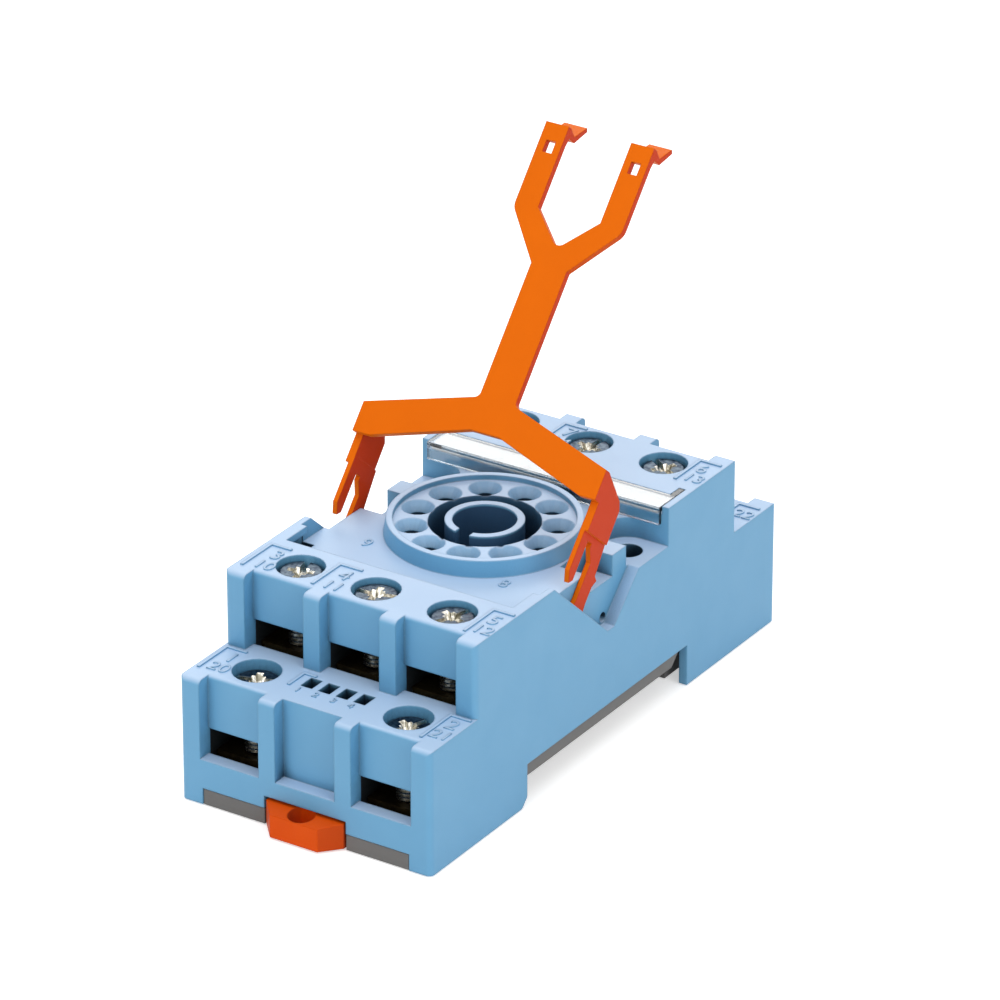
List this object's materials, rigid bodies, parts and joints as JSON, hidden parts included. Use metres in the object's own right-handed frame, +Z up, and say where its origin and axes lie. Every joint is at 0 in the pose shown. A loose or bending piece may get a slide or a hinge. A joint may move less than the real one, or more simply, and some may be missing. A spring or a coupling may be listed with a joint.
{
  "type": "relay socket",
  "caption": "Plug-in relay socket with a round pin ring, stepped screw terminals, a hinged retaining clip and a sprung rail latch.",
  "frame": {"origin": "centre of the pin ring, at the level of the feet, which is the middle of the rail notch", "axes": "+Z up out of the pin ring, -Y towards the front with the rail latch, +X to the right"},
  "size_m": [0.038, 0.0856, 0.0711],
  "materials": {
    "blue_moulding": "satin",
    "grey_moulding": "matte",
    "orange_moulding": "gloss",
    "clear_strip": "clear",
    "white_card": "matte",
    "plated_steel": "nickel plated",
    "spring_steel": "bright",
    "contact_brass": "stamped"
  },
  "bodies": {
    "socket": {"housing": "blue_moulding", "base_plate": "grey_moulding", "marker_cover": "clear_strip", "marker_card": "white_card", "latch_spring": "spring_steel", "contact_01": "contact_brass", "contact_02": "contact_brass", "contact_03": "contact_brass", "contact_04": "contact_brass", "contact_05": "contact_brass", "contact_06": "contact_brass", "contact_07": "contact_brass", "contact_08": "contact_brass", "contact_09": "contact_brass", "contact_10": "contact_brass", "contact_11": "contact_brass"},
    "clip": {"retaining_clip": "orange_moulding"},
    "latch": {"rail_latch": "orange_moulding"},
    "saddle_01": {"clamp_saddle_01": "plated_steel"},
    "screw_01": {"terminal_screw_01": "plated_steel"},
    "saddle_02": {"clamp_saddle_02": "plated_steel"},
    "screw_02": {"terminal_screw_02": "plated_steel"},
    "saddle_03": {"clamp_saddle_03": "plated_steel"},
    "screw_03": {"terminal_screw_03": "plated_steel"},
    "saddle_04": {"clamp_saddle_04": "plated_steel"},
    "screw_04": {"terminal_screw_04": "plated_steel"},
    "saddle_05": {"clamp_saddle_05": "plated_steel"},
    "screw_05": {"terminal_screw_05": "plated_steel"},
    "saddle_06": {"clamp_saddle_06": "plated_steel"},
    "screw_06": {"terminal_screw_06": "plated_steel"},
    "saddle_07": {"clamp_saddle_07": "plated_steel"},
    "screw_07": {"terminal_screw_07": "plated_steel"},
    "saddle_08": {"clamp_saddle_08": "plated_steel"},
    "screw_08": {"terminal_screw_08": "plated_steel"},
    "saddle_09": {"clamp_saddle_09": "plated_steel"},
    "screw_09": {"terminal_screw_09": "plated_steel"},
    "saddle_10": {"clamp_saddle_10": "plated_steel"},
    "screw_10": {"terminal_screw_10": "plated_steel"},
    "saddle_11": {"clamp_saddle_11": "plated_steel"},
    "screw_11": {"terminal_screw_11": "plated_steel"}
  },
  "joints": [
    {"name": "clip_hinge", "type": "hinge", "parent": "socket", "child": "clip", "pos_m": [0, -0.0074, 0.0203], "axis": [1, 0, 0], "range_deg": [-31, 22.5]},
    {"name": "latch_slide", "type": "slide", "parent": "socket", "child": "latch", "axis": [0, -1, 0], "range_m": [0, 0.003], "stiffness_N_per_m": 800, "springref_m": -0.002, "deforming": ["latch_spring"]},
    {"name": "saddle_01_lift", "type": "slide", "parent": "socket", "child": "saddle_01", "axis": [0, 0, 1], "range_m": [-0.003, 0]},
    {"name": "screw_01_turn", "type": "hinge", "parent": "saddle_01", "child": "screw_01", "pos_m": [-0.0115, -0.03505, 0.01], "axis": [0, 0, 1], "range_deg": [-1800.2, 0]},
    {"name": "saddle_02_lift", "type": "slide", "parent": "socket", "child": "saddle_02", "axis": [0, 0, 1], "range_m": [-0.003, 0]},
    {"name": "screw_02_turn", "type": "hinge", "parent": "saddle_02", "child": "screw_02", "pos_m": [0.0115, -0.03505, 0.01], "axis": [0, 0, 1], "range_deg": [-1800.2, 0]},
    {"name": "saddle_03_lift", "type": "slide", "parent": "socket", "child": "saddle_03", "axis": [0, 0, 1], "range_m": [-0.003, 0]},
    {"name": "screw_03_turn", "type": "hinge", "parent": "saddle_03", "child": "screw_03", "pos_m": [-0.0115, -0.02505, 0.01], "axis": [0, 0, 1], "range_deg": [-1800.2, 0]},
    {"name": "saddle_04_lift", "type": "slide", "parent": "socket", "child": "saddle_04", "axis": [0, 0, 1], "range_m": [-0.003, 0]},
    {"name": "screw_04_turn", "type": "hinge", "parent": "saddle_04", "child": "screw_04", "pos_m": [0, -0.02505, 0.01], "axis": [0, 0, 1], "range_deg": [-1800.2, 0]},
    {"name": "saddle_05_lift", "type": "slide", "parent": "socket", "child": "saddle_05", "axis": [0, 0, 1], "range_m": [-0.003, 0]},
    {"name": "screw_05_turn", "type": "hinge", "parent": "saddle_05", "child": "screw_05", "pos_m": [0.0115, -0.02505, 0.01], "axis": [0, 0, 1], "range_deg": [-1800.2, 0]},
    {"name": "saddle_06_lift", "type": "slide", "parent": "socket", "child": "saddle_06", "axis": [0, 0, 1], "range_m": [-0.003, 0]},
    {"name": "screw_06_turn", "type": "hinge", "parent": "saddle_06", "child": "screw_06", "pos_m": [-0.0115, 0.02505, 0.01], "axis": [0, 0, 1], "range_deg": [-1800.2, 0]},
    {"name": "saddle_07_lift", "type": "slide", "parent": "socket", "child": "saddle_07", "axis": [0, 0, 1], "range_m": [-0.003, 0]},
    {"name": "screw_07_turn", "type": "hinge", "parent": "saddle_07", "child": "screw_07", "pos_m": [0, 0.02505, 0.01], "axis": [0, 0, 1], "range_deg": [-1800.2, 0]},
    {"name": "saddle_08_lift", "type": "slide", "parent": "socket", "child": "saddle_08", "axis": [0, 0, 1], "range_m": [-0.003, 0]},
    {"name": "screw_08_turn", "type": "hinge", "parent": "saddle_08", "child": "screw_08", "pos_m": [0.0115, 0.02505, 0.01], "axis": [0, 0, 1], "range_deg": [-1800.2, 0]},
    {"name": "saddle_09_lift", "type": "slide", "parent": "socket", "child": "saddle_09", "axis": [0, 0, 1], "range_m": [-0.003, 0]},
    {"name": "screw_09_turn", "type": "hinge", "parent": "saddle_09", "child": "screw_09", "pos_m": [-0.0115, 0.03505, 0.01], "axis": [0, 0, 1], "range_deg": [-1800.2, 0]},
    {"name": "saddle_10_lift", "type": "slide", "parent": "socket", "child": "saddle_10", "axis": [0, 0, 1], "range_m": [-0.003, 0]},
    {"name": "screw_10_turn", "type": "hinge", "parent": "saddle_10", "child": "screw_10", "pos_m": [0, 0.03505, 0.01], "axis": [0, 0, 1], "range_deg": [-1800.2, 0]},
    {"name": "saddle_11_lift", "type": "slide", "parent": "socket", "child": "saddle_11", "axis": [0, 0, 1], "range_m": [-0.003, 0]},
    {"name": "screw_11_turn", "type": "hinge", "parent": "saddle_11", "child": "screw_11", "pos_m": [0.0115, 0.03505, 0.01], "axis": [0, 0, 1], "range_deg": [-1800.2, 0]}
  ],
  "couplings": [
    {"joint": "screw_01_turn", "follows": "saddle_01_lift", "rad_per_m": 10472},
    {"joint": "screw_02_turn", "follows": "saddle_02_lift", "rad_per_m": 10472},
    {"joint": "screw_03_turn", "follows": "saddle_03_lift", "rad_per_m": 10472},
    {"joint": "screw_04_turn", "follows": "saddle_04_lift", "rad_per_m": 10472},
    {"joint": "screw_05_turn", "follows": "saddle_05_lift", "rad_per_m": 10472},
    {"joint": "screw_06_turn", "follows": "saddle_06_lift", "rad_per_m": 10472},
    {"joint": "screw_07_turn", "follows": "saddle_07_lift", "rad_per_m": 10472},
    {"joint": "screw_08_turn", "follows": "saddle_08_lift", "rad_per_m": 10472},
    {"joint": "screw_09_turn", "follows": "saddle_09_lift", "rad_per_m": 10472},
    {"joint": "screw_10_turn", "follows": "saddle_10_lift", "rad_per_m": 10472},
    {"joint": "screw_11_turn", "follows": "saddle_11_lift", "rad_per_m": 10472}
  ]
}
